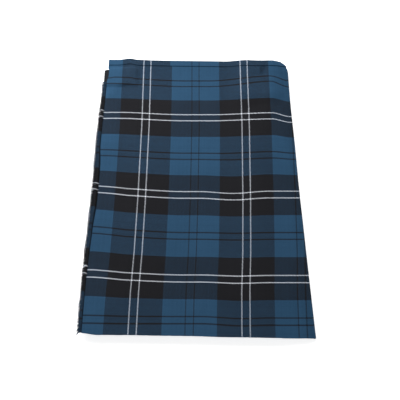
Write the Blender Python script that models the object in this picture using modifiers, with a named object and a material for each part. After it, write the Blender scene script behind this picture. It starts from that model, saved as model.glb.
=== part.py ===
"""A tartan kilt laid out flat with its front apron up: over apron, under apron, knife-pleated
back, waistband, apron fringe, and the leather strap and buckle of its right hip.

Metres, +Z up. The waist is at +Y, the hem at -Y, and the wearer's right hip at -X. The cloth is
one long strip that goes round once and a half: the under apron starts inside at +X, turns down
at -X into the pleated back, and turns up at +X into the over apron, whose fringed edge lies free
at -X. Every panel is a wall through cross-sections, one for each distance down from the waist.
"""

import math

import bmesh
import bpy

MM = 0.001

# Driving dimensions
LENGTH = 610 * MM  # waist edge to hem, down the middle
CLOTH = 1.0 * MM  # thickness of one layer
PITCH = 1.3 * MM  # from the middle of one layer to the middle of the next
GAP = 0.3 * MM  # clearance between pieces at a seam

PLEATS = 20  # knife pleats across the back
PLEAT_FLAT_START = 0.40  # share of a reveal that slopes down before it lies flat
PLEAT_STEP = 1.6 * MM  # level stretch where a reveal comes out from behind the last fold
FOLD_NOSE = 0.45 * MM  # how far a fold's middle stands past its two layers

FRONT_BAND_PITCH = PITCH + 0.18 * MM  # from the middle of the over apron to its waistband's
BACK_BAND_PITCH = PITCH + 0.37 * MM  # from the middle of the back to its waistband's
BAND_ROOM = 2.4 * MM  # how far panels draw in at the sides under the waistband
CORNER_RADIUS = 25 * MM  # top corner at the folded edge

BACK_INSET = 4 * MM  # the last pleat's fold, in from the apron's folded edge
TURN_INSET = 2 * MM  # the under apron's side turn, in from the fringed edge
APRON_ROOM = 1.0 * MM  # between the over apron and the under apron, above their pitch
UNDER_INSET = 26 * MM  # the under apron's free edge, in from the last pleat's fold

FRINGE_TOP = 65 * MM  # distances below the waist edge
FRINGE_BOTTOM = 606 * MM
FRINGE_STRANDS = 170
FRINGE_BACKING = 8 * MM  # width of the strip that carries the strands
FRINGE_WALL = 0.8 * MM

STRAP_TOP = 25 * MM  # distances below the waist edge
STRAP_WIDTH = 36 * MM
STRAP_WALL = 1.5 * MM
STRAP_ROOM = 1.5 * MM  # how far the strap lifts the over apron
STRAP_LIE = 0.85 * MM  # height of the strap's middle where it lies flat outside the back
STRAP_SEWN = 60 * MM  # length sewn under the over apron
STRAP_BULGE = 7.5 * MM  # how far the strap's turn stands out past the apron's edge
STRAP_TIP_X = -100 * MM
STRAP_HOLES = 3
STRAP_HOLE_RADIUS = 2.6 * MM
STRAP_HOLE_STEP = 14 * MM

BUCKLE_X = -148 * MM  # middle of the frame
BUCKLE_ACROSS = 22 * MM  # between the middles of the front bar and the heel bar
BUCKLE_SPAN = 42 * MM  # between the middles of the side bars
BUCKLE_CORNER = 5 * MM
BUCKLE_WIRE = 0.8 * MM  # radius
FRONT_BAR_Z = 2.4 * MM
HEEL_BAR_Z = 3.85 * MM
PRONG_RADIUS = 0.6 * MM
TAB_WALL = 0.8 * MM
TAB_WIDTH = 32 * MM
TAB_LENGTH = 26 * MM  # from the heel bar to its sewn end
TAB_SLOT = 5 * MM  # width of the slot that lets the prong swing

# The apron's outline: its fringed edge and its folded edge.
OUTLINE = {
    "down": (0.0, 0.10, 0.20, 0.30, 0.40, 0.50, 0.61),
    "left": (-0.1976, -0.2000, -0.2026, -0.2034, -0.2076, -0.2134, -0.2159),
    "right": (0.2046, 0.2070, 0.2100, 0.2129, 0.2174, 0.2218, 0.2272),
}

# How the layers lie at each distance down: how far the back is held off the surface by the
# buckle outside it, how deep the hidden folds of its pleats are, how deep the pleat behind the
# over apron's folded edge is, and how the fringed edge lifts.
LIE = {
    "down": (0.0, 0.016, 0.070, 0.14, 0.20, 0.40, 0.61),
    "back_lift": (6.6 * MM, 6.6 * MM, 6.4 * MM, 0.0, 0.0, 0.0, 0.0),
    "pleat_depth": (12 * MM, 12 * MM, 18 * MM, 70 * MM, 96 * MM, 97 * MM, 98 * MM),
    "edge_fold": (5 * MM, 8 * MM, 30 * MM, 50 * MM, 60 * MM, 62 * MM, 64 * MM),
    "fringed_rise": (0.2 * MM, 0.2 * MM, 0.3 * MM, 0.7 * MM, 0.8 * MM, 0.8 * MM, 0.8 * MM),
}

# The share of that lift at places across the back: full over the buckle at the right hip.
LIFT_ACROSS = {
    "across": (-0.205, -0.186, -0.164, -0.090, 0.0, 0.120, 0.230),
    "share": (0.48, 0.56, 1.0, 1.0, 0.66, 0.38, 0.26),
}

# How far the waist edge and the hem stand above a level line, at places across the apron.
EDGE_RISE = {
    "across": (-0.210, -0.150, -0.070, 0.0, 0.050, 0.100, 0.150, 0.190, 0.227),
    "waist": (4.3 * MM, 6.5 * MM, 1.9 * MM, 0.5 * MM, 1.5 * MM, 3.5 * MM, 4.1 * MM, 3.3 * MM, 1.6 * MM),
    "hem": (2.5 * MM, 0.2 * MM, -1.0 * MM, -2.3 * MM, -3.1 * MM, -4.5 * MM, -4.9 * MM, -5.7 * MM, -6.5 * MM),
}

# Soft folds in the over apron: where, how long down and how wide across, and how high.
SOFT_FOLDS = (
    {"across": 0.143, "down": 0.030, "half_width": 0.014, "half_length": 0.022, "height": -0.9 * MM},
    {"across": 0.165, "down": 0.110, "half_width": 0.030, "half_length": 0.080, "height": 1.2 * MM},
    {"across": 0.208, "down": 0.560, "half_width": 0.012, "half_length": 0.140, "height": 0.9 * MM},
    {"across": -0.085, "down": 0.330, "half_width": 0.060, "half_length": 0.160, "height": 0.8 * MM},
    {"across": 0.055, "down": 0.310, "half_width": 0.045, "half_length": 0.130, "height": -0.7 * MM},
)

APRON_ROWS = (
    *(0.0018, 0.008, 0.016, 0.025, 0.043, 0.064, 0.070, 0.10, 0.14),
    *(0.20, 0.30, 0.37, 0.44, 0.52, 0.61),
)
BACK_ROWS = (0.0018, 0.008, 0.016, 0.070, 0.10, 0.14, 0.20, 0.30, 0.44, 0.6075)
BAND_ROWS = (0.0026, 0.0080, 0.0140)
APRON_COLUMNS = 20
UNDER_COLUMNS = 16
EDGE_FOLD_COLUMNS = 5
TURN_STEPS = 6

COLORS = {
    "tartan_cloth": ((0.030, 0.070, 0.120), 0.85, 0.0),
    "fringe_yarn": ((0.012, 0.018, 0.030), 0.90, 0.0),
    "strap_leather": ((0.010, 0.009, 0.009), 0.45, 0.0),
    "buckle_metal": ((0.60, 0.60, 0.62), 0.25, 1.0),
}


def clamp(value, low=0.0, high=1.0):
    return min(high, max(low, value))


def ease(share):
    """0 to 1 with level ends."""
    share = clamp(share)
    return share * share * (3 - 2 * share)


def column_at(table, key, name, place):
    """A table's column at a place between its rows, on a Catmull-Rom curve."""
    places, values = table[key], table[name]
    place = clamp(place, places[0], places[-1])
    i = max(k for k in range(len(places) - 1) if places[k] <= place)
    span = places[i + 1] - places[i]

    def slope(k):
        low, high = max(k - 1, 0), min(k + 1, len(places) - 1)
        return (values[high] - values[low]) / (places[high] - places[low])

    t = (place - places[i]) / span
    rise = values[i + 1] - values[i]
    return (
        values[i]
        + ease(t) * rise
        + t * (1 - t) ** 2 * slope(i) * span
        - t * t * (1 - t) * slope(i + 1) * span
    )


def straight(places, values, place):
    """A value at a place, straight between the places it is given at."""
    place = clamp(place, places[0], places[-1])
    i = max(k for k in range(len(places) - 1) if places[k] <= place)
    share = (place - places[i]) / (places[i + 1] - places[i])
    return values[i] + (values[i + 1] - values[i]) * share


def lie(name, down):
    return straight(LIE["down"], LIE[name], down)


def corner_inset(down):
    """How far the folded edge draws in at the rounded top corner."""
    if down >= CORNER_RADIUS:
        return 0.0
    return CORNER_RADIUS - math.sqrt(CORNER_RADIUS**2 - (CORNER_RADIUS - down) ** 2)


def fringed_edge(down):
    return column_at(OUTLINE, "down", "left", down)


def folded_edge(down):
    """The middle of the cloth at the over apron's folded edge."""
    drawn_in = BAND_ROOM * (1 - ease((down - 0.010) / 0.020))
    edge = column_at(OUTLINE, "down", "right", down) - corner_inset(down)
    return edge - FOLD_NOSE - CLOTH / 2 - drawn_in


def back_end(down):
    """The last pleat's fold."""
    return folded_edge(down) - BACK_INSET


def place_y(across, down):
    """The lengthwise place of a point of cloth, with the waist edge and the hem as they lie."""
    share = down / LENGTH
    waist = column_at(EDGE_RISE, "across", "waist", across)
    hem = column_at(EDGE_RISE, "across", "hem", across)
    return LENGTH / 2 - down + waist * (1 - share) + hem * share


def back_level(across, down):
    """The middle of the outermost layer of the back."""
    share = column_at(LIFT_ACROSS, "across", "share", across)
    return CLOTH / 2 + lie("back_lift", down) * share


def stack_height(down, depth):
    """How far the topmost layer of the pleats lies above the outermost where they are this deep."""
    start = fringed_edge(down) + TURN_INSET
    width = (back_end(down) - start) / PLEATS
    return 2 * PITCH * (1 + depth / width) + 2 * GAP


def turn_centre(down):
    """(across, radius) of the turn at the fringed side, from the under apron into the back."""
    side = fringed_edge(down) + TURN_INSET
    radius = (stack_height(down, lie("pleat_depth", down)) + PITCH) / 2
    return side + radius, radius


def full_depth_end(down):
    """The last place across where the pleats lie at their full depth."""
    return back_end(down) - lie("pleat_depth", down)


def under_level(across, down):
    """The middle of the under apron, which lies on the pleats."""
    depth = min(lie("pleat_depth", down), max(back_end(down) - across, 0.0))
    return back_level(across, down) + stack_height(down, depth) + PITCH + GAP / 2


def soft_folds(across, down):
    total = 0.0
    for fold in SOFT_FOLDS:
        u = (across - fold["across"]) / fold["half_width"]
        v = (down - fold["down"]) / fold["half_length"]
        total += fold["height"] * ease(1.35 * (1 - abs(u))) * ease(1.35 * (1 - abs(v)))
    return total


def edge_fold_end(down):
    """The hidden fold of the deep pleat behind the over apron's folded edge."""
    return folded_edge(down) - lie("edge_fold", down)


def between(value, low, high, soft):
    """1 between low and high, falling to 0 over a soft distance outside them."""
    return ease(1 + (value - low) / soft) * ease(1 + (high - value) / soft)


def apron_level(across, down):
    """The middle of the over apron, over what lies under it."""
    left = fringed_edge(down)
    over_fold = 2 * PITCH * ease(1 + (across - edge_fold_end(down)) / (24 * MM))
    over_band = PITCH * between(down, 0.0, BAND_ROWS[-1], 22 * MM)
    over_strap = STRAP_ROOM * between(down, STRAP_TOP, STRAP_TOP + STRAP_WIDTH + 3 * MM, 6 * MM)
    over_strap *= between(across, left - 9 * MM, left + STRAP_SEWN, 9 * MM)
    rise = lie("fringed_rise", down) * (1 - ease((across - left - 12 * MM) / (34 * MM)))
    height = under_level(across, down) + PITCH + APRON_ROOM + over_fold
    return height + max(over_band, over_strap) + rise + soft_folds(across, down)


def spread(first, last, count):
    return [first + (last - first) * i / (count - 1) for i in range(count)]


def half_turn(across, high, low, bulge, steps):
    """Points of a half ellipse from (across, high) out by bulge to (across, low)."""
    middle, radius = (high + low) / 2, (high - low) / 2
    points = []
    for i in range(1, steps):
        angle = math.pi * i / steps
        points.append((across + bulge * math.sin(angle), middle + radius * math.cos(angle)))
    return points


def face_columns(down):
    """Places across the over apron's face, the last of them over the pleat behind its edge."""
    inner, edge = edge_fold_end(down), folded_edge(down)
    face = spread(fringed_edge(down), inner, APRON_COLUMNS)
    return face, spread(inner, edge, EDGE_FOLD_COLUMNS)


def over_apron_section(down):
    """(across, height) of the over apron: its face, the deep pleat behind its folded edge, and
    the turn round the side to the back."""
    face, over_fold = face_columns(down)
    inner, edge = over_fold[0], over_fold[-1]
    points = [(x, apron_level(x, down)) for x in face[:-1] + over_fold]
    points.append((edge + FOLD_NOSE, apron_level(edge, down) - PITCH / 2))
    points += [(x, apron_level(x, down) - PITCH) for x in reversed(over_fold)]
    points.append((inner - FOLD_NOSE, apron_level(inner, down) - 1.5 * PITCH))
    points += [(x, apron_level(x, down) - 2 * PITCH) for x in over_fold[:-1]]
    turn_x = edge - BACK_INSET + GAP
    high = apron_level(turn_x, down) - 2 * PITCH
    low = back_level(turn_x, down)
    points += half_turn(turn_x, high, low, BACK_INSET - GAP - CLOTH / 4, TURN_STEPS)[:-1]
    points.append((turn_x + 2.3 * MM, low))
    return points


def under_apron_section(down):
    """(across, height) of the under apron, from its free edge to the turn and the first pleat."""
    centre, radius = turn_centre(down)
    free = back_end(down) - UNDER_INSET
    bend = min(full_depth_end(down), free - 12 * MM)
    places = spread(free, bend, 6)[:-1] + spread(bend, centre, UNDER_COLUMNS)
    points = [(x, under_level(x, down)) for x in places]
    low = back_level(centre, down)
    points += half_turn(centre, under_level(centre, down), low, -radius, TURN_STEPS)
    points.append((centre - GAP, low))
    return points


def pleated_back_section(down):
    """(across, height) of the pleats: each reveal, and its two layers that slope up inside."""
    start = turn_centre(down)[0] + GAP + CLOTH / 2
    width = (back_end(down) - start) / PLEATS
    slope = 2 * PITCH / width
    points = []
    for k in range(PLEATS):
        first, fold = start + k * width, start + (k + 1) * width
        depth = min(lie("pleat_depth", down), fold - start - CLOTH)
        if k == 0:
            points.append((first, 0.0))
        else:
            points.append((first, 2 * PITCH))
            points.append((first + PLEAT_STEP, 2 * PITCH - GAP / 3))
        points += [
            (first + PLEAT_FLAT_START * width, 0.0),
            (fold, 0.0),
            (fold + FOLD_NOSE, PITCH / 2),
            (fold, PITCH),
            (fold - depth, PITCH + slope * depth),
            (fold - depth - FOLD_NOSE, 1.5 * PITCH + slope * depth),
            (fold - depth, 2 * PITCH + slope * depth),
        ]
    points.append((back_end(down), 2 * PITCH))
    return [(x, z + back_level(x, down)) for x, z in points]


def finish_object(name, mesh, slot):
    color, roughness, metallic = COLORS[slot]
    material = bpy.data.materials.get(slot) or bpy.data.materials.new(slot)
    material.use_nodes = True
    shader = material.node_tree.nodes["Principled BSDF"]
    shader.inputs["Base Color"].default_value = (*color, 1.0)
    shader.inputs["Roughness"].default_value = roughness
    shader.inputs["Metallic"].default_value = metallic
    mesh.materials.clear()
    mesh.materials.append(material)
    obj = bpy.data.objects.new(name, mesh)
    bpy.data.collections["kilt"].objects.link(obj)
    return obj


def wall(name, rows, thickness, slot):
    """A wall whose middle surface passes through rows of points, all of one length."""
    lines, columns = len(rows), len(rows[0])
    bm = bmesh.new()
    bmesh.ops.create_grid(bm, x_segments=columns - 1, y_segments=lines - 1, size=1.0)
    for vertex in bm.verts:
        column = round((vertex.co.x + 1) / 2 * (columns - 1))
        line = round((vertex.co.y + 1) / 2 * (lines - 1))
        vertex.co = rows[line][column]
    mesh = bpy.data.meshes.new(name)
    bm.to_mesh(mesh)
    bm.free()
    obj = finish_object(name, mesh, slot)
    solidify = obj.modifiers.new("thickness", "SOLIDIFY")
    solidify.thickness = thickness
    solidify.offset = 0.0
    solidify.use_even_offset = True
    mesh.shade_smooth()
    mesh.set_sharp_from_angle(angle=math.radians(50))
    return obj


def panel(name, section, rows):
    """A cloth wall from a section function and the distances down at which it is taken."""
    points = []
    for down in rows:
        points.append([(x, place_y(x, down), z) for x, z in section(down)])
    return wall(name, points, CLOTH, "tartan_cloth")


def moved_out(points, distance):
    """An (across, height) line moved to its left by a distance."""
    moved = []
    for i, (x, z) in enumerate(points):
        before, after = points[max(i - 1, 0)], points[min(i + 1, len(points) - 1)]
        along_x, along_z = after[0] - before[0], after[1] - before[1]
        size = math.hypot(along_x, along_z)
        moved.append((x - along_z / size * distance, z + along_x / size * distance))
    return moved


def waistband(name, outer_line, lip):
    """A band over a panel's top edge: a leg on its outer face, and a lip across its edge.
    outer_line gives the leg's (across, height) line; lip is how far the lip reaches inward."""
    rows = []
    for down in reversed(BAND_ROWS):
        rows.append([(x, place_y(x, down), z) for x, z in outer_line(down)])
    line = outer_line(BAND_ROWS[0])
    top = CLOTH / 2
    rows.append([(x, place_y(x, top), z) for x, z in line])
    inner = moved_out(line, lip)
    rows.append([(x, place_y(x, top), z) for x, z in inner])
    wall(name, rows, CLOTH, "tartan_cloth")


def front_band_line(down):
    """From the fringed edge over the face and round the folded side to under the back."""
    face, over_fold = face_columns(down)
    edge = over_fold[-1]
    line = [(x, apron_level(x, down) + FRONT_BAND_PITCH) for x in face[:-1] + over_fold]
    edge_z, side = apron_level(edge, down), edge + FOLD_NOSE + PITCH + 4 * GAP
    line += [
        (side - 0.5 * MM, edge_z + PITCH / 2),
        (side, edge_z - PITCH / 2),
        (side, edge_z - 3 * PITCH),
    ]
    centre = edge - BACK_INSET
    low = back_level(centre, down) - BACK_BAND_PITCH
    middle, radius = (low + edge_z - 3 * PITCH) / 2, (edge_z - 3 * PITCH - low) / 2
    for angle in (20, 40, 60, 90):
        turn = math.radians(angle)
        x = centre + (side - centre) * abs(math.cos(turn)) ** 0.6
        line.append((x, middle + radius - 2 * radius * math.sin(turn) ** 0.8))
    end = edge - 9 * MM
    return [*line, (end, back_level(end, down) - BACK_BAND_PITCH)]


def back_band_line(down):
    first = folded_edge(down) - 9.2 * MM - GAP
    last = turn_centre(down)[0] + 2.4 * MM
    return [(x, back_level(x, down) - BACK_BAND_PITCH) for x in spread(first, last, 28)]


def under_band_line(down):
    """From the back's first pleat round the fringed side and over the under apron."""
    centre = turn_centre(down)[0]
    section = under_apron_section(down)[::-1]
    start = centre + 2 * MM - GAP
    first = (start, back_level(start, down) - BACK_BAND_PITCH)
    return [first, *moved_out(section, PITCH + 0.1 * MM)]


def build_waistband():
    waistband("waistband_front", front_band_line, -(PITCH + CLOTH / 2))
    back_lip = stack_height(0.0, lie("pleat_depth", 0.0)) + PITCH
    waistband("waistband_back", back_band_line, -back_lip)
    waistband("waistband_under", under_band_line, -(PITCH + CLOTH / 2))


def fringe_length(down):
    """How far the strands stand out past the apron's edge."""
    waist, middle, hem = 9.5 * MM, 13.0 * MM, 11.0 * MM
    share = down / LENGTH
    return waist + (middle - waist) * ease(share / 0.45) + (hem - middle) * ease((share - 0.6) / 0.3)


def build_fringe():
    """A narrow strip under the apron's edge whose outer side is drawn out into strands."""
    lines = 2 * FRINGE_STRANDS + 1
    sides = (-1.0 * MM, FRINGE_BACKING - 1.0 * MM)
    levels = [[apron_level(fringed_edge(row) + side, row) for row in APRON_ROWS] for side in sides]
    drop = CLOTH / 2 + GAP + FRINGE_WALL / 2 + 0.1 * MM
    rows = []
    for down in spread(FRINGE_TOP, FRINGE_BOTTOM, lines):
        row = []
        for side, heights in zip(sides, levels):
            x = fringed_edge(down) + side
            row.append((x, place_y(x, down), straight(APRON_ROWS, heights, down) - drop))
        rows.append(row)
    obj = wall("apron_fringe", rows, FRINGE_WALL, "fringe_yarn")
    evaluated = obj.evaluated_get(bpy.context.evaluated_depsgraph_get())
    bm = bmesh.new()
    bm.from_mesh(evaluated.to_mesh())
    obj.modifiers.clear()
    bm.normal_update()
    outer_side = sorted(
        (f for f in bm.faces if f.normal.x < -0.9),
        key=lambda face: -face.calc_center_median().y,
    )
    for number, face in enumerate(outer_side[::2]):
        down = LENGTH / 2 - face.calc_center_median().y
        lean = 0.6 * MM * math.sin(number * 2.4) + 0.5 * MM * math.sin(number * 0.37)
        length = fringe_length(down) + 0.7 * MM * math.sin(number * 1.7)
        tip = bmesh.ops.extrude_discrete_faces(bm, faces=[face])["faces"][0]
        centre = tip.calc_center_median()
        for vertex in tip.verts:
            vertex.co = centre + (vertex.co - centre) * 0.75
            vertex.co.x -= length - 1.0 * MM
            vertex.co.y += lean
            vertex.co.z -= 1.6 * MM
    bm.to_mesh(obj.data)
    bm.free()


def strap_line(down):
    """(across, height) of the strap at a distance down: sewn under the apron, round the side,
    and under the back through its buckle to its tip."""
    edge = fringed_edge(STRAP_TOP + STRAP_WIDTH / 2)
    room = CLOTH / 2 + 1.5 * GAP + STRAP_WALL / 2
    face = face_columns(down)[0]
    levels = [apron_between_rows(x, down + 2.6 * MM) - room for x in face]
    inside = [x for x in face if edge + 2 * MM < x < edge + STRAP_SEWN - 2 * MM]
    places = [edge + STRAP_SEWN, *reversed(inside), edge]
    sewn = [(x, straight(face, levels, x)) for x in places]
    turn = half_turn(edge - 0.5 * MM, sewn[-1][1], STRAP_LIE, -STRAP_BULGE, 9)
    above_bar = FRONT_BAR_Z + BUCKLE_WIRE + GAP + STRAP_WALL / 2
    front = BUCKLE_X - BUCKLE_ACROSS / 2
    return [
        *sewn,
        *turn,
        (edge + 2 * MM, STRAP_LIE),
        (front - 14 * MM, STRAP_LIE),
        (front - 3 * MM, above_bar),
        (BUCKLE_X - 1.0 * MM, above_bar),
        (BUCKLE_X + 4.5 * MM, STRAP_LIE),
        (STRAP_TIP_X, STRAP_LIE),
    ]


def apron_between_rows(across, down):
    """The over apron's middle, straight between the rows its panel is built from."""
    return straight(APRON_ROWS, [apron_level(across, row) for row in APRON_ROWS], down)


def strap_edge_y(edge_down):
    return LENGTH / 2 + 3 * MM - edge_down


def build_strap():
    high, low = strap_edge_y(STRAP_TOP), strap_edge_y(STRAP_TOP + STRAP_WIDTH)
    tip_length = 12 * MM
    rows = []
    for y, tip in ((high, 0.0), (high - 9 * MM, 1.0), (low + 9 * MM, 1.0), (low, 0.0)):
        line = strap_line(STRAP_TOP + high - y)
        tip_x = STRAP_TIP_X + tip_length * tip
        rows.append([(x, y, z) for x, z in line[:-1]] + [(tip_x, y, line[-1][1])])
    strap = wall("hip_strap", rows, STRAP_WALL, "strap_leather")
    first_hole = BUCKLE_X + 1.6 * MM
    for number in range(STRAP_HOLES):
        place = (first_hole + number * STRAP_HOLE_STEP, (high + low) / 2, 2 * MM)
        bpy.ops.mesh.primitive_cylinder_add(
            vertices=10, radius=STRAP_HOLE_RADIUS, depth=12 * MM, location=place
        )
        cut_out(strap, bpy.context.object, f"strap_hole_{number}")


def cut_out(target, cutter, name):
    """Cut one object's shape out of another."""
    cutter.name = name
    cutter.hide_render = True
    cutter.display_type = "WIRE"
    for collection in list(cutter.users_collection):
        collection.objects.unlink(cutter)
    bpy.data.collections["cutters"].objects.link(cutter)
    cut = target.modifiers.new(name, "BOOLEAN")
    cut.operation = "DIFFERENCE"
    cut.object = cutter


def tube(name, points, radius, slot, cyclic=False):
    """A round bar along points."""
    curve = bpy.data.curves.new(name, "CURVE")
    curve.dimensions = "3D"
    curve.bevel_depth = radius
    curve.bevel_resolution = 2
    curve.use_fill_caps = True
    spline = curve.splines.new("POLY")
    spline.points.add(len(points) - 1)
    for point, place in zip(spline.points, points):
        point.co = (*place, 1.0)
    spline.use_cyclic_u = cyclic
    return finish_object(name, curve, slot)


def buckle_bar_z(across):
    share = (across - (BUCKLE_X - BUCKLE_ACROSS / 2)) / BUCKLE_ACROSS
    return FRONT_BAR_Z + (HEEL_BAR_Z - FRONT_BAR_Z) * share


def build_buckle():
    """A tilted frame whose heel bar is held by a leather tab: the strap passes above its front
    bar and below its heel bar, and the prong goes through a hole to rest on the front bar."""
    middle_y = strap_edge_y(STRAP_TOP + STRAP_WIDTH / 2)
    half_x, half_y = BUCKLE_ACROSS / 2, BUCKLE_SPAN / 2
    frame = []
    for corner, (sign_x, sign_y) in enumerate(((1, 1), (-1, 1), (-1, -1), (1, -1))):
        for step in range(4):
            angle = math.radians(90 * corner + 30 * step)
            x = BUCKLE_X + sign_x * (half_x - BUCKLE_CORNER) + BUCKLE_CORNER * math.cos(angle)
            y = middle_y + sign_y * (half_y - BUCKLE_CORNER) + BUCKLE_CORNER * math.sin(angle)
            frame.append((x, y, buckle_bar_z(x)))
    tube("buckle_frame", frame, BUCKLE_WIRE, "buckle_metal", cyclic=True)

    heel, front = BUCKLE_X + half_x, BUCKLE_X - half_x
    hook = BUCKLE_WIRE + GAP + PRONG_RADIUS + 0.05 * MM
    prong = []
    for angle in (-30, 10, 50, 90, 130, 170):
        turn = math.radians(angle)
        prong.append((heel + hook * math.cos(turn), middle_y, HEEL_BAR_Z + hook * math.sin(turn)))
    tip_z = FRONT_BAR_Z - BUCKLE_WIRE - GAP - PRONG_RADIUS
    prong += [(front + 2 * MM, middle_y, tip_z), (front - 1.5 * MM, middle_y, tip_z)]
    tube("buckle_prong", prong, PRONG_RADIUS, "buckle_metal")

    wrap = BUCKLE_WIRE + GAP + TAB_WALL / 2 + 0.05 * MM
    sewn_z = back_level(heel + TAB_LENGTH, STRAP_TOP) - CLOTH / 2 - 1.5 * GAP - TAB_WALL / 2
    line = [(heel + TAB_LENGTH, sewn_z), (heel + 8 * MM, sewn_z), (heel + 1 * MM, HEEL_BAR_Z + wrap)]
    for angle in (110, 145, 180, 215, 250):
        turn = math.radians(angle)
        line.append((heel + wrap * math.cos(turn), HEEL_BAR_Z + wrap * math.sin(turn)))
    line += [(heel + 2 * MM, HEEL_BAR_Z - wrap), (heel + 12 * MM, sewn_z - TAB_WALL - GAP)]
    line.append((heel + TAB_LENGTH - 4 * MM, sewn_z - TAB_WALL - GAP))
    half_width = TAB_WIDTH / 2
    rows = [[(x, middle_y + y, z) for x, z in line] for y in (half_width, -half_width)]
    tab = wall("buckle_tab", rows, TAB_WALL, "strap_leather")
    bpy.ops.mesh.primitive_cube_add(size=1.0, location=(heel, middle_y, HEEL_BAR_Z))
    slot = bpy.context.object
    slot.scale = (12 * MM, TAB_SLOT, 8 * MM)
    cut_out(tab, slot, "tab_slot")


def main():
    for obj in list(bpy.data.objects):
        bpy.data.objects.remove(obj, do_unlink=True)
    for name in ("kilt", "cutters"):
        bpy.context.scene.collection.children.link(bpy.data.collections.new(name))
    panel("over_apron", over_apron_section, APRON_ROWS)
    panel("under_apron", under_apron_section, BACK_ROWS)
    panel("pleated_back", pleated_back_section, BACK_ROWS)
    build_waistband()
    build_fringe()
    build_strap()
    build_buckle()


main()
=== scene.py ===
"""Looks of a tartan kilt laid out flat with its front apron up: thin cloth shells with a woven
tartan, knife pleats, a stitched waistband, a yarn fringe and a black leather strap and buckle.

Metres, +Z up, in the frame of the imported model. The waist is at +Y, the hem at -Y, and the
wearer's right hip at -X. Every cloth piece is a grid of (line, column) points with a place in
the tartan's repeat at each point, so the stripes run with the threads round every fold.
"""

import math
import random
from collections import namedtuple

import bpy
import numpy as np
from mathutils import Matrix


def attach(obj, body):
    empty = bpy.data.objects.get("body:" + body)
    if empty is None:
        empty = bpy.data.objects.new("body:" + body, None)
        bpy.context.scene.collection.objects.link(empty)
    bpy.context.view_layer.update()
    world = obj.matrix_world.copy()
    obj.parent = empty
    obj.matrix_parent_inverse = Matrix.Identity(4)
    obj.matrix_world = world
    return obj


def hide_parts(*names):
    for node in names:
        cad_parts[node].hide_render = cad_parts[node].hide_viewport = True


MM = 0.001

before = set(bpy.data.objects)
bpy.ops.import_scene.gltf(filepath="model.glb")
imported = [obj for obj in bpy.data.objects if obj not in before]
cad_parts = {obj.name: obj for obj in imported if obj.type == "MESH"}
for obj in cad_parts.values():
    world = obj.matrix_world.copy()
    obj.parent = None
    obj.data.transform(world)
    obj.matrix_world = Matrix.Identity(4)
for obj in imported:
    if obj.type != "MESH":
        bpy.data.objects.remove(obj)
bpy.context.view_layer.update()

# Driving dimensions: the solids' own, apart from the shells' thickness and the roll of the edge
LENGTH = 610 * MM
UNDER_LENGTH = 607.5 * MM  # of the layers under the over apron
PITCH = 1.3 * MM  # from the middle of one layer of cloth to the middle of the next
GAP = 0.3 * MM
SOLID_CLOTH = 1.0 * MM  # thickness of the solids' cloth
CLOTH = 0.8 * MM  # thickness of the shells here
PLEATS = 20
PLEAT_FLAT_START = 0.40
FOLD_NOSE = 0.45 * MM
FRONT_BAND_PITCH = PITCH + 0.18 * MM
BACK_BAND_PITCH = PITCH + 0.37 * MM
BAND_ROOM = 2.4 * MM
CORNER_RADIUS = 25 * MM
BACK_INSET = 4 * MM
TURN_INSET = 2 * MM
APRON_ROOM = 1.0 * MM
UNDER_INSET = 26 * MM
EDGE_ROLL = 21 * MM  # how far in the folded edge starts to roll down
BAND_DEPTH = 14 * MM

STRAP_TOP = 25 * MM
STRAP_WIDTH = 36 * MM
STRAP_WALL = 1.5 * MM
STRAP_LIE = 0.85 * MM
STRAP_SEWN = 60 * MM
STRAP_BULGE = 7.5 * MM
STRAP_TIP_X = -100 * MM
BUCKLE_X = -148 * MM
BUCKLE_ACROSS = 22 * MM
BUCKLE_WIRE = 0.8 * MM
FRONT_BAR_Z = 2.4 * MM
HEEL_BAR_Z = 3.85 * MM
TAB_WALL = 0.8 * MM
TAB_WIDTH = 32 * MM
TAB_LENGTH = 26 * MM

# The kilt's two edges, how its layers lie, where the back is lifted, and how far the waist edge
# and the hem stand above a level line. The folded edge lies up to 2.3 mm further out than on the
# solids, the waist edge up to 5.6 mm off theirs and the hem up to 3 mm.
OUTLINE = {
    "down": (0.0, 0.10, 0.20, 0.30, 0.40, 0.50, 0.61),
    "left": (-0.1976, -0.2000, -0.2026, -0.2034, -0.2076, -0.2134, -0.2159),
    "right": (0.2059, 0.2076, 0.2119, 0.2150, 0.2195, 0.2241, 0.2295),
}
LIE = {
    "down": (0.0, 0.016, 0.070, 0.14, 0.20, 0.40, 0.61),
    "back_lift": (6.6 * MM, 6.6 * MM, 6.4 * MM, 0.0, 0.0, 0.0, 0.0),
    "pleat_depth": (12 * MM, 12 * MM, 18 * MM, 70 * MM, 96 * MM, 97 * MM, 98 * MM),
    "edge_fold": (5 * MM, 8 * MM, 30 * MM, 50 * MM, 60 * MM, 62 * MM, 64 * MM),
    "fringed_rise": (0.2 * MM, 0.2 * MM, 0.3 * MM, 0.7 * MM, 0.8 * MM, 0.8 * MM, 0.8 * MM),
}
LIFT_ACROSS = {
    "across": (-0.205, -0.186, -0.164, -0.090, 0.0, 0.120, 0.230),
    "share": (0.48, 0.56, 1.0, 1.0, 0.66, 0.38, 0.26),
}
EDGE_RISE = {
    "across": (-0.210, -0.190, -0.170, -0.150, -0.132, -0.070, 0.0,
               0.050, 0.100, 0.150, 0.190, 0.207, 0.227),
    "waist": np.array((4.3, 5.0, 3.6, 6.0, 2.8, 0.9, 1.0, 0.9, -0.2, -1.5, 1.8, 4.4, 4.4)) * MM,
    "hem": np.array((4.1, 1.2, 1.3, 0.9, 1.0, -0.1, -1.1, -2.8, -3.4, -4.4, -4.3, -4.0, -3.5)) * MM,
}

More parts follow.
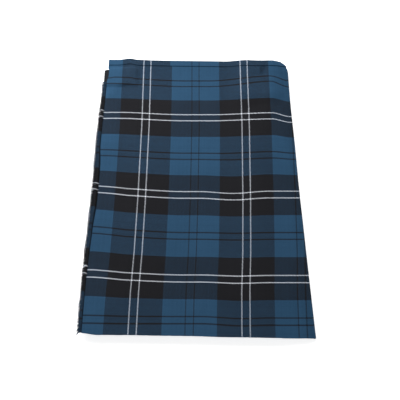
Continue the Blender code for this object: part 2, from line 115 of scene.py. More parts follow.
# Soft folds and small creases of the over apron, in millimetres.
Fold = namedtuple("Fold", "across down half_width half_length height")
SOFT_FOLDS = (
    Fold(150, 27, 10, 14, -2.6),
    Fold(140, 20, 12, 20, 0.8),
    Fold(131, 38, 12, 16, -0.8),
    Fold(165, 110, 30, 80, 1.2),
    Fold(208, 560, 12, 140, 0.9),
    Fold(-85, 330, 60, 160, 0.8),
    Fold(55, 310, 45, 130, -0.7),
    Fold(-127, 34, 10, 28, -1.2),
    Fold(-160, 32, 8, 22, -0.9),
    Fold(-144, 36, 11, 26, 0.9),
    Fold(-185, 81, 17, 26, 2.4),
    Fold(178, 36, 16, 30, 0.7),
)
FOLD_CROWN = 1.35  # over 1, so that a fold's crown is level

# The broad swell of the front at the wearer's left hip, over the edge of the deep pleat.
HIP_SWELL = {"across": 0.138, "half_width": 0.080, "down": 0.078, "ends": 0.124, "height": 9.0 * MM}

# How the over apron's face rises over the deep pleat, the waistband under it and the strap, and
# how softly. The strap's rise is a slope and a step, which end a little past its sewn end.
FOLD_SOFT = 60 * MM
BAND_SOFT = 22 * MM
PLEATS_SOFT = 22 * MM
FRINGED_RISE_START = 12 * MM
FRINGED_RISE_LENGTH = 34 * MM
STRAP_PRINT_END = STRAP_SEWN + 14 * MM
STRAP_SLOPE, STRAP_SLOPE_LENGTH = 1.6 * MM, 40 * MM
STRAP_STEP, STRAP_STEP_LENGTH, STRAP_STEP_INSET = 2.3 * MM, 7 * MM, 2 * MM
STRAP_PRINT_BELOW = 4 * MM
STRAP_PRINT_SOFT = 6 * MM
ROLL_DEPTH = 4.2 * MM

# Where the over apron's fringed edge is drawn back, by the strap and in a soft wave below it.
DrawnBack = namedtuple("DrawnBack", "depth start start_length end end_length")
DRAWN_BACK = (
    DrawnBack(3.0 * MM, 0.0225, 0.006, 0.062, 0.020),
    DrawnBack(2.4 * MM, 0.215, 0.050, 0.400, 0.050),
)

FRINGE_TOP = 60 * MM
FRINGE_BOTTOM = 608.5 * MM
FRINGE_SHIFT = -0.2 * MM
TOOTH = 5.8 * MM  # the strands gather in small points
# The layers of strands, in millimetres: how far each is under the apron, how much longer and how
# thick it is, its pitch and its scatter. The last two are loose and stray strands.
Layer = namedtuple("Layer", "drop reach thick pitch spread")
FRINGE_LAYERS = (
    Layer(0.95, 0.0, 0.55, 1.05, 0.25),
    Layer(1.75, 0.5, 0.55, 1.15, 0.30),
    Layer(1.35, 0.9, 0.32, 4.2, 1.10),
    Layer(2.00, 1.3, 0.28, 6.5, 1.50),
)

# The camera, at the photograph's angle.
CAMERA_PLACE = np.array((0.0080, -0.46975, 1.1679))
CAMERA_TILT = math.radians(20.9)
CAMERA_LENS = 54.0

# The sett, charted in threads: across (warp) and down (weft), each from the middle of the black
# band between two white lines to the middle of the blue, where it turns and runs back.
WARP_SETT = (("black", 9), ("white", 3), ("black", 62), ("blue", 58), ("black", 3), ("blue", 9))
WEFT_SETT = (("black", 9), ("white", 3), ("black", 51), ("blue", 50), ("black", 4), ("blue", 8))
WARP_REPEAT = 215 * MM
WEFT_REPEAT = 177 * MM

PATTERN_SHIFT = np.array((-0.0080, 0.03215))  # from the model's origin to the lines' own
PATTERN_TOP = 0.3340  # where the cut starts to be counted down, along Y
PATTERN_PLANE = 22 * MM  # height of the level plane that the lines are given on
TOP_STRETCH = 0.93  # of the weft above the first half repeat

# How the cloth's lines lie on the face. The middle pair of black warp lines drifts across with
# the place along the kilt, and half repeats of the weft follow each other down it.
WARP_DRIFT = {
    "along": (-0.26, -0.19, -0.11, 0.0, 0.17, 0.30),
    "across": (-20.5, -19.0, -15.0, -12.0, -9.5, -10.0),
}
HALF_REPEATS_DOWN = (0.060, 0.144, 0.236, 0.323, 0.411, 0.498, 0.578)

# How far each bend of the cloth moves the weft lines up, in millimetres, at places along the
# kilt: up the fringed side, more at its edge, down in the slack beside the middle, up to the
# folded side, and down again over its roll.
WEFT_BENDS = {
    "along": (-0.25, -0.16, -0.07, 0.02, 0.12, 0.20, 0.24, 0.28, 0.30, 0.33),
    "fringed_side": (0.0, 6.0, 7.5, 8.5, 7.0, 7.0, 5.5, 8.0, 7.0, 4.0),
    "fringed_edge": (1.0, 4.0, 5.0, 4.5, 1.0, -1.5, 0.0, 0.5, 0.0, 0.0),
    "slack": (-3.0, -2.0, -1.5, -4.5, -0.5, 0.0, 0.0, 0.0, 0.0, 0.0),
    "folded_side": (-3.0, -1.0, 0.0, 1.0, 4.0, 5.0, 6.5, 14.0, 12.5, 2.0),
    "over_roll": (0.0, 0.0, 0.0, 0.0, -4.0, -10.0, -8.5, -13.5, -10.0, -11.0),
}
# Where each bend starts across the kilt, and how much nearer its edge it is whole.
BEND_STARTS = {"fringed_side": -0.030, "fringed_edge": -0.150, "folded_side": 0.020, "over_roll": 0.155}
BEND_LENGTHS = {"fringed_side": 0.170, "fringed_edge": 0.060, "folded_side": 0.140, "over_roll": 0.040}
SLACK_MIDDLE = 0.070
# The strap under the cloth draws the lines up: from, to, and over what length it fades.
STRAP_DRAW = {"across": (-0.190, -0.152, 0.010), "along": (0.286, 0.300, 0.012), "height": 2.4}

THREAD_COLORS = {
    "black": (0.0146, 0.0148, 0.0172),
    "blue": (0.0262, 0.0735, 0.1390),
    "white": (0.83, 0.87, 0.95),
}


# ---------------- the kilt's form


def clamp(value, low=0.0, high=1.0):
    return np.minimum(high, np.maximum(low, value))


def ease(share):
    """0 to 1 with level ends."""
    share = clamp(share)
    return share * share * (3 - 2 * share)


def curve_at(table, key, name, place):
    """A table's column at places between its rows, on a Catmull-Rom curve."""
    places, values = np.array(table[key]), np.array(table[name])
    place = clamp(place, places[0], places[-1])
    last = len(places) - 1
    i = np.minimum(np.searchsorted(places, place, side="right") - 1, last - 1)
    low, high = np.maximum(np.arange(last + 1) - 1, 0), np.minimum(np.arange(last + 1) + 1, last)
    slopes = (values[high] - values[low]) / (places[high] - places[low])
    span = places[i + 1] - places[i]
    t = (place - places[i]) / span
    return (
        values[i]
        + ease(t) * (values[i + 1] - values[i])
        + t * (1 - t) ** 2 * slopes[i] * span
        - t * t * (1 - t) * slopes[i + 1] * span
    )


def lie(name, down):
    """How the layers lie at a distance down, with the turns between the rows rounded."""
    steps = np.linspace(-12 * MM, 12 * MM, 5)
    return float(np.mean(np.interp(down + steps, LIE["down"], LIE[name])))


def corner_inset(down):
    if down >= CORNER_RADIUS:
        return 0.0
    return CORNER_RADIUS - math.sqrt(CORNER_RADIUS**2 - (CORNER_RADIUS - down) ** 2)


def fringed_edge(down):
    return float(curve_at(OUTLINE, "down", "left", down))


def folded_edge(down):
    """The middle of the cloth at the over apron's folded edge."""
    drawn_in = BAND_ROOM * (1 - ease((down - 0.010) / 0.020))
    edge = float(curve_at(OUTLINE, "down", "right", down)) - corner_inset(down)
    return edge - FOLD_NOSE - SOLID_CLOTH / 2 - drawn_in


def back_end(down):
    return folded_edge(down) - BACK_INSET


def place_y(across, down):
    share = down / LENGTH
    waist = curve_at(EDGE_RISE, "across", "waist", across)
    hem = curve_at(EDGE_RISE, "across", "hem", across)
    return LENGTH / 2 - down + waist * (1 - share) + hem * share


def back_level(across, down):
    share = curve_at(LIFT_ACROSS, "across", "share", across)
    return SOLID_CLOTH / 2 + lie("back_lift", down) * share


def stack_height(down, depth):
    start = fringed_edge(down) + TURN_INSET
    width = (back_end(down) - start) / PLEATS
    return 2 * PITCH * (1 + depth / width) + 2 * GAP


def turn_centre(down):
    side = fringed_edge(down) + TURN_INSET
    radius = (stack_height(down, lie("pleat_depth", down)) + PITCH) / 2
    return side + radius, radius


def under_level(across, down, soft=2 * MM):
    """The middle of the under apron, which lies on the pleats."""
    full = lie("pleat_depth", down)
    room = np.maximum(back_end(down) - across, 0.0)
    blend = clamp(0.5 + (room - full) / (2 * soft))
    depth = room + (full - room) * blend - soft * blend * (1 - blend)
    return back_level(across, down) + stack_height(down, np.maximum(depth, 0.0)) + PITCH + GAP / 2


def crown(place):
    """1 at a fold's middle, 0 where it ends, at -1 and 1."""
    return ease(FOLD_CROWN * (1 - abs(place)))


def soft_folds(across, down):
    total = 0.0
    for fold in SOFT_FOLDS:
        u = (across - fold.across * MM) / (fold.half_width * MM)
        v = (down - fold.down * MM) / (fold.half_length * MM)
        total = total + fold.height * MM * crown(u) * crown(v)
    return total


def hip_swell(across, down):
    u = (across - HIP_SWELL["across"]) / HIP_SWELL["half_width"]
    falls = (HIP_SWELL["ends"] - down) / (HIP_SWELL["ends"] - HIP_SWELL["down"])
    return HIP_SWELL["height"] * crown(u) * ease(falls)


def soft_higher(first, second, soft=1.5 * MM):
    """The higher of two heights, rounded where they cross."""
    return (first + second + np.sqrt((first - second) ** 2 + soft**2) - soft) / 2


def slack(across, down):
    """The slight waves of cloth that lies free."""
    free = ease((down - 0.02) / 0.10)
    waves = 0.16 * np.sin(across * 47 + down * 19 + 0.6) * np.sin(down * 31 - across * 9)
    waves = waves + 0.10 * np.sin(across * 83 - down * 37 + 2.1) * np.sin(down * 58 + across * 21 + 0.9)
    waves = waves + 0.05 * np.sin(across * 170 + down * 71) * np.sin(down * 133 - across * 64 + 1.7)
    return free * waves * MM


def edge_fold_end(down):
    return folded_edge(down) - lie("edge_fold", down)


def between(value, low, high, soft):
    """1 from low to high, and 0 a soft length beyond them."""
    return ease(1 + (value - low) / soft) * ease(1 + (high - value) / soft)


def apron_level(across, down):
    """The middle of the over apron, over what lies under it."""
    left = fringed_edge(down)
    over_fold = 2 * PITCH * ease(1 + (across - edge_fold_end(down)) / FOLD_SOFT)
    over_fold = soft_higher(over_fold, hip_swell(across, down))
    over_band = PITCH * between(down, 0.0, BAND_DEPTH, BAND_SOFT)
    past = left + STRAP_PRINT_END - across
    over_strap = STRAP_SLOPE * ease(past / STRAP_SLOPE_LENGTH)
    over_strap = over_strap + STRAP_STEP * ease((past - STRAP_STEP_INSET) / STRAP_STEP_LENGTH)
    strap_bottom = STRAP_TOP + STRAP_WIDTH + STRAP_PRINT_BELOW
    over_strap = over_strap * between(down, STRAP_TOP, strap_bottom, STRAP_PRINT_SOFT)
    rise = 1 - ease((across - left - FRINGED_RISE_START) / FRINGED_RISE_LENGTH)
    height = under_level(across, down, soft=PLEATS_SOFT) + PITCH + APRON_ROOM + over_fold
    rolled = ROLL_DEPTH * clamp(1 - (folded_edge(down) - across) / EDGE_ROLL) ** 2
    height = height + np.maximum(over_band, over_strap) + lie("fringed_rise", down) * rise - rolled
    return height + soft_folds(across, down) + slack(across, down)


def half_turn(across, high, low, bulge, steps):
    """Points of a half ellipse from (across, high) out by bulge to (across, low)."""
    angles = np.pi * np.arange(1, steps) / steps
    middle, radius = (high + low) / 2, (high - low) / 2
    return [(across + bulge * math.sin(a), middle + radius * math.cos(a)) for a in angles]


def pulled_back(down):
    """How far the over apron's fringed edge is drawn back."""
    total = 0.0
    for part in DRAWN_BACK:
        starts = ease((down - part.start) / part.start_length)
        total += part.depth * starts * ease((part.end - down) / part.end_length)
    return total


def face_places(down, count):
    return np.linspace(fringed_edge(down) + pulled_back(down), folded_edge(down), count)


def pairs(across, heights):
    return list(zip(across.tolist(), np.broadcast_to(heights, across.shape).tolist()))


FACE_COLUMNS = 150
REVEAL_COLUMNS = 9


def over_apron_section(down):
    """(across, height) points: the face, the deep pleat behind the folded edge, and the turn
    round the side to the back."""
    face = face_places(down, FACE_COLUMNS)
    inner, edge = edge_fold_end(down), face[-1]
    points = pairs(face, apron_level(face, down))
    top = points[-1][1]
    points += half_turn(edge, top, top - PITCH, PITCH / 2, 8)
    fold = np.linspace(edge, inner, 12)
    points += pairs(fold, apron_level(fold, down) - PITCH)
    low = float(apron_level(inner, down))
    points += half_turn(inner, low - PITCH, low - 2 * PITCH, -PITCH / 2, 8)
    turn_x = edge - BACK_INSET + GAP
    fold = np.linspace(inner, turn_x, 12)
    points += pairs(fold, apron_level(fold, down) - 2 * PITCH)
    low = float(back_level(turn_x, down))
    points += half_turn(turn_x, points[-1][1], low, BACK_INSET - GAP - SOLID_CLOTH / 4, 14)
    return points


def under_apron_section(down):
    centre, radius = turn_centre(down)
    free = back_end(down) - UNDER_INSET
    places = np.linspace(free, centre, 70)
    points = pairs(places, under_level(places, down))
    low = float(back_level(centre, down))
    points += half_turn(centre, points[-1][1], low, -radius, 14)
    return [*points, (centre, low)]


def pleated_back_section(down):
    """Each pleat's reveal, and its two layers that slope up inside."""
    start = turn_centre(down)[0] + GAP + SOLID_CLOTH / 2
    width = (back_end(down) - start) / PLEATS
    slope = 2 * PITCH / width
    points = []
    for k in range(PLEATS):
        first, fold = start + k * width, start + (k + 1) * width
        depth = min(lie("pleat_depth", down), fold - start - SOLID_CLOTH)
        reveal = np.linspace(first, fold, REVEAL_COLUMNS)
        rise = 0.0 if k == 0 else 2 * PITCH
        points += pairs(reveal, rise * (1 - ease((reveal - first) / (PLEAT_FLAT_START * width))))
        points += half_turn(fold, 0.0, PITCH, FOLD_NOSE, 5)
        hidden = np.linspace(fold, fold - depth, 6)
        points += pairs(hidden, PITCH + slope * (fold - hidden))
        inner = PITCH + slope * depth
        points += half_turn(fold - depth, inner, inner + PITCH, -FOLD_NOSE, 5)
        hidden = hidden[::-1]
        points += pairs(hidden[:-1], 2 * PITCH + slope * (fold - hidden[:-1]))
    points.append((back_end(down), 2 * PITCH))
    across = np.array([x for x, z in points])
    return list(zip(across.tolist(), (back_level(across, down) + [z for x, z in points]).tolist()))


# ---------------- the tartan's lines


def on_the_pattern_plane(points):
    """Where the camera sees points on the level plane that the tartan's lines are given on."""
    points = np.asarray(points, float)
    share = (CAMERA_PLACE[2] - PATTERN_PLANE) / (CAMERA_PLACE[2] - points[..., 2])
    seen = CAMERA_PLACE[:2] + (points[..., :2] - CAMERA_PLACE[:2]) * share[..., None]
    return seen[..., 0] + PATTERN_SHIFT[0], seen[..., 1] + PATTERN_SHIFT[1]


def weft_place(down):
    """Metres of weft at a distance down the pattern."""
    knots = np.array(HALF_REPEATS_DOWN)
    half = WEFT_REPEAT / 2
    index = np.interp(down, knots, np.arange(len(knots)))
    index = index + np.minimum(down - knots[0], 0) * TOP_STRETCH / half
    index = index + np.maximum(down - knots[-1], 0) / half
    return half * (index + 1)


def weft_rise(x, y):
    """How far the bends of the cloth move a weft line up."""
    def whole(name):
        toward = -1 if name.startswith("fringed") else 1
        return toward * (x - BEND_STARTS[name]) / BEND_LENGTHS[name]

    shares = {
        "fringed_side": ease(whole("fringed_side")),
        "fringed_edge": clamp(whole("fringed_edge")),
        "slack": ease(1 - abs(x - SLACK_MIDDLE) / SLACK_MIDDLE),
        "folded_side": ease(whole("folded_side")),
        "over_roll": ease(whole("over_roll")),
    }
    rise = STRAP_DRAW["height"] * between(x, *STRAP_DRAW["across"]) * between(y, *STRAP_DRAW["along"])
    for name, share in shares.items():
        rise = rise + share * np.interp(y, WEFT_BENDS["along"], WEFT_BENDS[name])
    return rise * MM


def face_sett(points):
    """(warp, weft) places in metres of points on the over apron's face."""
    x, y = on_the_pattern_plane(points)
    warp = x - np.interp(y, WARP_DRIFT["along"], np.array(WARP_DRIFT["across"]) * MM)
    down = PATTERN_TOP - (y - weft_rise(x, y))
    return np.stack([warp + WARP_REPEAT / 2, weft_place(down)], axis=-1)


# ---------------- meshes


def add_object(name, verts, faces, uvs=None):
    """A smooth mesh object; uvs has one (u, v) for each vertex."""
    mesh = bpy.data.meshes.new(name)
    mesh.from_pydata([tuple(v) for v in verts], [], faces)
    if uvs is not None:
        layer = mesh.uv_layers.new(name="sett")
        loops = np.zeros(len(mesh.loops), np.int32)
        mesh.loops.foreach_get("vertex_index", loops)
        layer.data.foreach_set("uv", np.asarray(uvs, np.float32)[loops].ravel())
    mesh.polygons.foreach_set("use_smooth", [True] * len(mesh.polygons))
    mesh.set_sharp_from_angle(angle=math.radians(50))
    mesh.update()
    obj = bpy.data.objects.new(name, mesh)
    bpy.context.scene.collection.objects.link(obj)
    return obj


def grid_normals(grid):
    along = np.gradient(grid, axis=0)
    across = np.gradient(grid, axis=1)
    normal = np.cross(along, across)
    return normal / np.maximum(np.linalg.norm(normal, axis=-1, keepdims=True), 1e-12)


def tube_faces(base, rings, sides, flipped=False):
    """Faces of a closed tube: rings of points from the point of number base on, and two ends."""
    faces = []
    for ring in range(rings - 1):
        for k in range(sides):
            a, b = base + ring * sides + k, base + ring * sides + (k + 1) % sides
            faces.append((a, a + sides, b + sides, b) if flipped else (a, b, b + sides, a + sides))
    first = tuple(range(base, base + sides))
    last = tuple(k + (rings - 1) * sides for k in first)
    return [*faces, first, last[::-1]] if flipped else [*faces, first[::-1], last]


def shell(name, grid, sett, thickness=CLOTH):
    """A closed thin wall round a grid of middle points, with the sett's places as its UV map."""
    grid = np.asarray(grid, float)
    lines, columns = grid.shape[:2]
    normal = grid_normals(grid)
    verts = np.concatenate([(grid + normal * thickness / 2).reshape(-1, 3),
                            (grid - normal * thickness / 2).reshape(-1, 3)])
    index = np.arange(lines * columns).reshape(lines, columns)
    a, b = index[:-1, :-1].ravel(), index[:-1, 1:].ravel()
    c, d = index[1:, 1:].ravel(), index[1:, :-1].ravel()
    under = lines * columns
    faces = np.concatenate([np.stack([a, d, c, b], 1), np.stack([a, b, c, d], 1) + under])
    rim = np.concatenate([index[0, :], index[1:, -1], index[-1, -2::-1], index[-2:0:-1, 0]])
    ahead = np.roll(rim, -1)
    faces = np.concatenate([faces, np.stack([rim, ahead, ahead + under, rim + under], 1)])
    repeat = np.array((WARP_REPEAT, WEFT_REPEAT))
    uvs = np.concatenate([np.asarray(sett).reshape(-1, 2) / repeat] * 2)
    return add_object(name, verts, faces.tolist(), uvs)


def section_grid(section, rows):
    """Points of a section function at each distance down, as a grid."""
    grid = []
    for down in rows:
        points = np.array(section(down))
        grid.append(np.stack([points[:, 0], place_y(points[:, 0], down), points[:, 1]], 1))
    return np.array(grid)


def arc_lengths(grid):
    """How far along its line each point of a grid is."""
    steps = np.linalg.norm(np.diff(grid, axis=1), axis=2)
    return np.concatenate([np.zeros((len(grid), 1)), np.cumsum(steps, axis=1)], axis=1)


def rows_down(fine_to, fine, coarse, last=LENGTH, first=1.2 * MM):
    """Distances down of a grid's lines, closer together near the waist."""
    near = np.linspace(first, fine_to, int((fine_to - first) / fine) + 1)
    far = np.linspace(fine_to, last, int((last - fine_to) / coarse) + 1)
    return np.concatenate([near, far[1:]])


def even_sett(rows, warp):
    """The sett of a layer whose weft lies level: warp places given, weft from the rows."""
    weft = np.broadcast_to(weft_place(np.asarray(rows))[:, None], warp.shape)
    return np.stack([warp, weft], axis=-1)


# ---------------- materials


def add_node(tree, kind, inputs=(), **settings):
    """A node with settings, and inputs given as {name or index: value or output socket}."""
    node = tree.nodes.new(kind)
    for key, value in settings.items():
        setattr(node, key, value)
    for key, value in dict(inputs).items():
        if isinstance(value, bpy.types.NodeSocket):
            tree.links.new(value, node.inputs[key])
        else:
            node.inputs[key].default_value = value
    return node


def math_node(tree, operation, *values):
    return add_node(tree, "ShaderNodeMath", dict(enumerate(values)), operation=operation).outputs[0]


def mix_colors(tree, factor, first, second, kind="MIX"):
    inputs = {0: factor, 6: first, 7: second}
    return add_node(tree, "ShaderNodeMix", inputs, data_type="RGBA", blend_type=kind).outputs[2]


def mix_values(tree, factor, first, second):
    return add_node(tree, "ShaderNodeMix", {0: factor, 2: first, 3: second}).outputs[0]


def map_range(tree, value, low=0.0, high=1.0, to_low=0.0, to_high=1.0):
    inputs = {0: value, 1: low, 2: high, 3: to_low, 4: to_high}
    return add_node(tree, "ShaderNodeMapRange", inputs).outputs[0]


def noise(tree, scale, detail):
    """Noise that is fixed in the object."""
    place = add_node(tree, "ShaderNodeTexCoord").outputs["Object"]
    inputs = {"Vector": place, "Scale": scale, "Detail": detail}
    return add_node(tree, "ShaderNodeTexNoise", inputs).outputs[0]


def gray(tree, light):
    return add_node(tree, "ShaderNodeCombineColor", {0: light, 1: light, 2: light}).outputs[0]


def add_bump(tree, shader, height, strength, distance):
    inputs = {"Strength": strength, "Distance": distance, "Height": height}
    tree.links.new(add_node(tree, "ShaderNodeBump", inputs).outputs[0], shader.inputs["Normal"])


def sett_parts(tree):
    """The place in the sett, as shares of a repeat of warp and of weft."""
    uv = add_node(tree, "ShaderNodeUVMap", uv_map="sett").outputs[0]
    return add_node(tree, "ShaderNodeSeparateXYZ", {0: uv}).outputs


def new_material(name, roughness, specular=0.5, metallic=0.0):
    material = bpy.data.materials.new(name)
    material.use_nodes = True
    shader = material.node_tree.nodes["Principled BSDF"]
    shader.inputs["Roughness"].default_value = roughness
    shader.inputs["Specular IOR Level"].default_value = specular
    shader.inputs["Metallic"].default_value = metallic
    return material, material.node_tree, shader


def sett_threads(sett):
    """How many threads a whole repeat has."""
    return 2 * sum(count for _, count in sett)


def chart_ramp(tree, number, sett):
    """The colour of a thread by its number, and 1 where it is white."""
    repeat = float(sett_threads(sett))
    first = math_node(tree, "FLOORED_MODULO", number, repeat)
    last = math_node(tree, "SUBTRACT", repeat - 1.0, first)
    turned = math_node(tree, "MINIMUM", first, last)
    place = math_node(tree, "DIVIDE", math_node(tree, "ADD", turned, 0.75), repeat / 2)
    ramp = add_node(tree, "ShaderNodeValToRGB", {0: place})
    ramp.color_ramp.interpolation = "CONSTANT"
    total = sum(count for _, count in sett)
    elements = ramp.color_ramp.elements
    done = 0
    for i, (name, count) in enumerate(sett):
        element = elements[i] if i < 2 else elements.new(done / total)
        element.position = done / total
        element.color = (*THREAD_COLORS[name], 1.0 if name == "white" else 0.0)
        done += count
    return ramp.outputs[0], ramp.outputs[1]


def tartan_material():
    """A two-and-two twill of warp and weft threads, each thread of one colour from the sett."""
    material, tree, shader = new_material("tartan_wool", roughness=0.90, specular=0.06)
    parts = sett_parts(tree)
    whole, inside = [], []
    colors, whites = [], []
    for place, sett in ((parts[0], WARP_SETT), (parts[1], WEFT_SETT)):
        thread = math_node(tree, "MULTIPLY", place, float(sett_threads(sett)))
        number = math_node(tree, "FLOOR", thread)
        color, white = chart_ramp(tree, number, sett)
        whole.append(number)
        inside.append(math_node(tree, "SUBTRACT", thread, number))
        colors.append(color)
        whites.append(white)
    step = math_node(tree, "ADD", whole[0], whole[1])
    turn = math_node(tree, "FLOORED_MODULO", step, 4.0)
    weft_up = math_node(tree, "LESS_THAN", turn, 1.5)
    # Painted shade between the threads: a weft thread on top takes a little of the darker thread's
    # colour, none if it is white. A warp thread lies lower and takes half of it, a white one less, so
    # that it stands out.
    darker = mix_colors(tree, 1.0, colors[0], colors[1], "DARKEN")
    sunk = math_node(tree, "MULTIPLY_ADD", whites[0], -0.20, 0.50)
    warp_top = mix_colors(tree, sunk, colors[0], darker)
    shaded = math_node(tree, "MULTIPLY_ADD", whites[1], -0.18, 0.18)
    weft_top = mix_colors(tree, shaded, colors[1], darker)
    woven = mix_colors(tree, weft_up, warp_top, weft_top)
    # Each thread is rounded, with painted shade towards its sides, and varies a little in depth of dye
    # along and across the cloth.
    rounds = []
    for share in inside:
        off = math_node(tree, "MULTIPLY_ADD", share, 2.0, -1.0)
        rounds.append(math_node(tree, "MULTIPLY", off, off))
    height = math_node(tree, "SUBTRACT", 1.0, mix_values(tree, weft_up, *rounds))
    yarn = add_node(tree, "ShaderNodeCombineXYZ", {0: whole[0], 1: whole[1]}).outputs[0]
    fleck = add_node(tree, "ShaderNodeTexWhiteNoise", {"Vector": yarn}, noise_dimensions="2D")
    streaks = []
    for number, seed in zip(whole, (0.0, 71.3)):
        place = math_node(tree, "ADD", number, seed)
        one = add_node(tree, "ShaderNodeTexWhiteNoise", {"W": place}, noise_dimensions="1D")
        streaks.append(one.outputs[0])
    light = math_node(tree, "MULTIPLY_ADD", height, 0.22, 0.78)
    # Each adds up to half its strength or takes it away: flecks, streaked threads and clouds.
    for value, strength in (
        (fleck.outputs[0], 0.14),
        (mix_values(tree, weft_up, *streaks), 0.16),
        (noise(tree, 14.0, 3.0), 0.24),
    ):
        change = math_node(tree, "MULTIPLY_ADD", value, strength, -strength / 2)
        light = math_node(tree, "ADD", light, change)
    # Painted light: a weft thread on top is a little lighter than a warp thread on top.
    light = math_node(tree, "ADD", light, math_node(tree, "MULTIPLY", weft_up, 0.05))
    color = mix_colors(tree, 1.0, woven, gray(tree, light), "MULTIPLY")
    tree.links.new(color, shader.inputs["Base Color"])
    add_bump(tree, shader, height, 0.35, 0.25 * MM)
    return material


def leather_material():
    material, tree, shader = new_material("black_leather", roughness=0.55, specular=0.06)
    place = add_node(tree, "ShaderNodeTexCoord").outputs["Object"]
    grain = add_node(tree, "ShaderNodeTexVoronoi", {"Vector": place, "Scale": 900.0})
    cloud = noise(tree, 60.0, 5.0)
    height = math_node(tree, "MULTIPLY_ADD", grain.outputs[0], -0.7, noise(tree, 2600.0, 4.0))
    add_bump(tree, shader, height, 0.5, 0.25 * MM)
    color = mix_colors(tree, cloud, (0.004, 0.005, 0.007, 1), (0.011, 0.012, 0.015, 1))
    edges = add_node(tree, "ShaderNodeNewGeometry").outputs["Pointiness"]
    worn = math_node(tree, "MULTIPLY", map_range(tree, edges, 0.70, 0.90), 0.4)
    color = mix_colors(tree, worn, color, (0.026, 0.027, 0.031, 1))
    tree.links.new(color, shader.inputs["Base Color"])
    gloss = map_range(tree, cloud, to_low=0.46, to_high=0.64)
    tree.links.new(gloss, shader.inputs["Roughness"])
    return material


def metal_material():
    material, tree, shader = new_material("nickel_plate", roughness=0.24, metallic=1.0)
    cloud = noise(tree, 320.0, 6.0)
    color = mix_colors(tree, cloud, (0.46, 0.45, 0.44, 1), (0.66, 0.66, 0.68, 1))
    tree.links.new(color, shader.inputs["Base Color"])
    gloss = map_range(tree, cloud, to_low=0.16, to_high=0.38)
    tree.links.new(gloss, shader.inputs["Roughness"])
    return material


def yarn_material(name, color=None, twist=1600.0):
    """Loose yarn; without a colour it takes the weft's colour at its place in the sett."""
    material, tree, shader = new_material(name, roughness=0.9, specular=0.1)
    fibre = noise(tree, twist, 3.0)
    light = map_range(tree, fibre, 0.3, 0.7, 0.45, 1.0)
    if color is None:
        out, weft = sett_parts(tree)[:2]
        thread = math_node(tree, "MULTIPLY", weft, float(sett_threads(WEFT_SETT)))
        dyed, white = chart_ramp(tree, math_node(tree, "FLOOR", thread), WEFT_SETT)
        dull = math_node(tree, "MULTIPLY_ADD", white, -0.40, 0.40)
        base = mix_colors(tree, dull, dyed, (0.034, 0.036, 0.042, 1))
        # Loose yarn looks deeper than cloth. Near its root it is darker with painted shadow of the
        # apron's edge, a white strand less so.
        shade = map_range(tree, out, 0.22, 0.38, 0.16, 1.05)
        bright = map_range(tree, out, 0.24, 0.52, 0.45, 1.05)
        light = math_node(tree, "MULTIPLY", light, mix_values(tree, white, shade, bright))
    else:
        base = (*color, 1)
    color = mix_colors(tree, 1.0, base, gray(tree, light), "MULTIPLY")
    tree.links.new(color, shader.inputs["Base Color"])
    add_bump(tree, shader, fibre, 0.5, 0.2 * MM)
    return material


TARTAN = tartan_material()
LEATHER = leather_material()
METAL = metal_material()
FRINGE_YARN = yarn_material("fringe_yarn")
DARK_THREAD = yarn_material("dark_sewing_thread", (0.012, 0.016, 0.028), 3000.0)
LEATHER_THREAD = yarn_material("black_waxed_thread", (0.022, 0.023, 0.026), 3000.0)


def dress(obj, material, slot, *nodes):
    """Gives a piece its material, hangs it under the root and hides the CAD nodes that it stands for;
    the slot is not used.
    """
    obj.data.materials.clear()
    obj.data.materials.append(material)
    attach(obj, "root")
    if nodes:
        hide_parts(*nodes)
    return obj


# ---------------- the cloth panels


FINE_TO = 92 * MM  # where the aprons' lines get further apart
BACK_FINE_TO = 152 * MM
UNDER_WARP_START = 60 * MM


def build_over_apron():
    rows = rows_down(FINE_TO, 2.4 * MM, 4.4 * MM)
    grid = section_grid(over_apron_section, rows)
    lengths = arc_lengths(grid)
    sett = np.zeros((*grid.shape[:2], 2))
    sett[:, :FACE_COLUMNS] = face_sett(grid[:, :FACE_COLUMNS])
    edge = FACE_COLUMNS - 1
    beyond = lengths[:, FACE_COLUMNS:] - lengths[:, edge : edge + 1]
    sett[:, FACE_COLUMNS:, 0] = sett[:, edge : edge + 1, 0] + beyond
    sett[:, FACE_COLUMNS:, 1] = sett[:, edge : edge + 1, 1]
    obj = shell("over_apron_cloth", grid, sett)
    return dress(obj, TARTAN, "tartan_cloth", "over_apron")


def build_under_apron():
    rows = rows_down(FINE_TO, 6 * MM, 9 * MM, last=UNDER_LENGTH)
    grid = section_grid(under_apron_section, rows)
    lengths = arc_lengths(grid)
    warp = lengths[:, -1:] - lengths + UNDER_WARP_START
    obj = shell("under_apron_cloth", grid[:, ::-1], even_sett(rows, -warp[:, ::-1]))
    return dress(obj, TARTAN, "tartan_cloth", "under_apron")


def build_pleated_back():
    """The pleats are laid to the sett: a whole repeat is taken up behind each reveal, so the
    reveals show the tartan unbroken."""
    rows = rows_down(BACK_FINE_TO, 9 * MM, 12 * MM, last=UNDER_LENGTH)
    grid = section_grid(pleated_back_section, rows)
    per_pleat = (grid.shape[1] - 1) // PLEATS
    lengths = arc_lengths(grid)
    warp = np.zeros(grid.shape[:2])
    for k in range(PLEATS):
        first = k * per_pleat
        fold = first + REVEAL_COLUMNS - 1
        shown = slice(first, fold + 1)
        warp[:, shown] = -grid[:, shown, 0] + k * WARP_REPEAT
        hidden = slice(fold, first + per_pleat + 1)
        run = lengths[:, hidden] - lengths[:, fold : fold + 1]
        ahead = -grid[:, first + per_pleat, 0] + (k + 1) * WARP_REPEAT
        start = warp[:, fold]
        warp[:, hidden] = start[:, None] + run / run[:, -1:] * (ahead - start)[:, None]
    obj = shell("pleated_back_cloth", grid, even_sett(rows, warp))
    return dress(obj, TARTAN, "tartan_cloth", "pleated_back")


# ---------------- the waistband


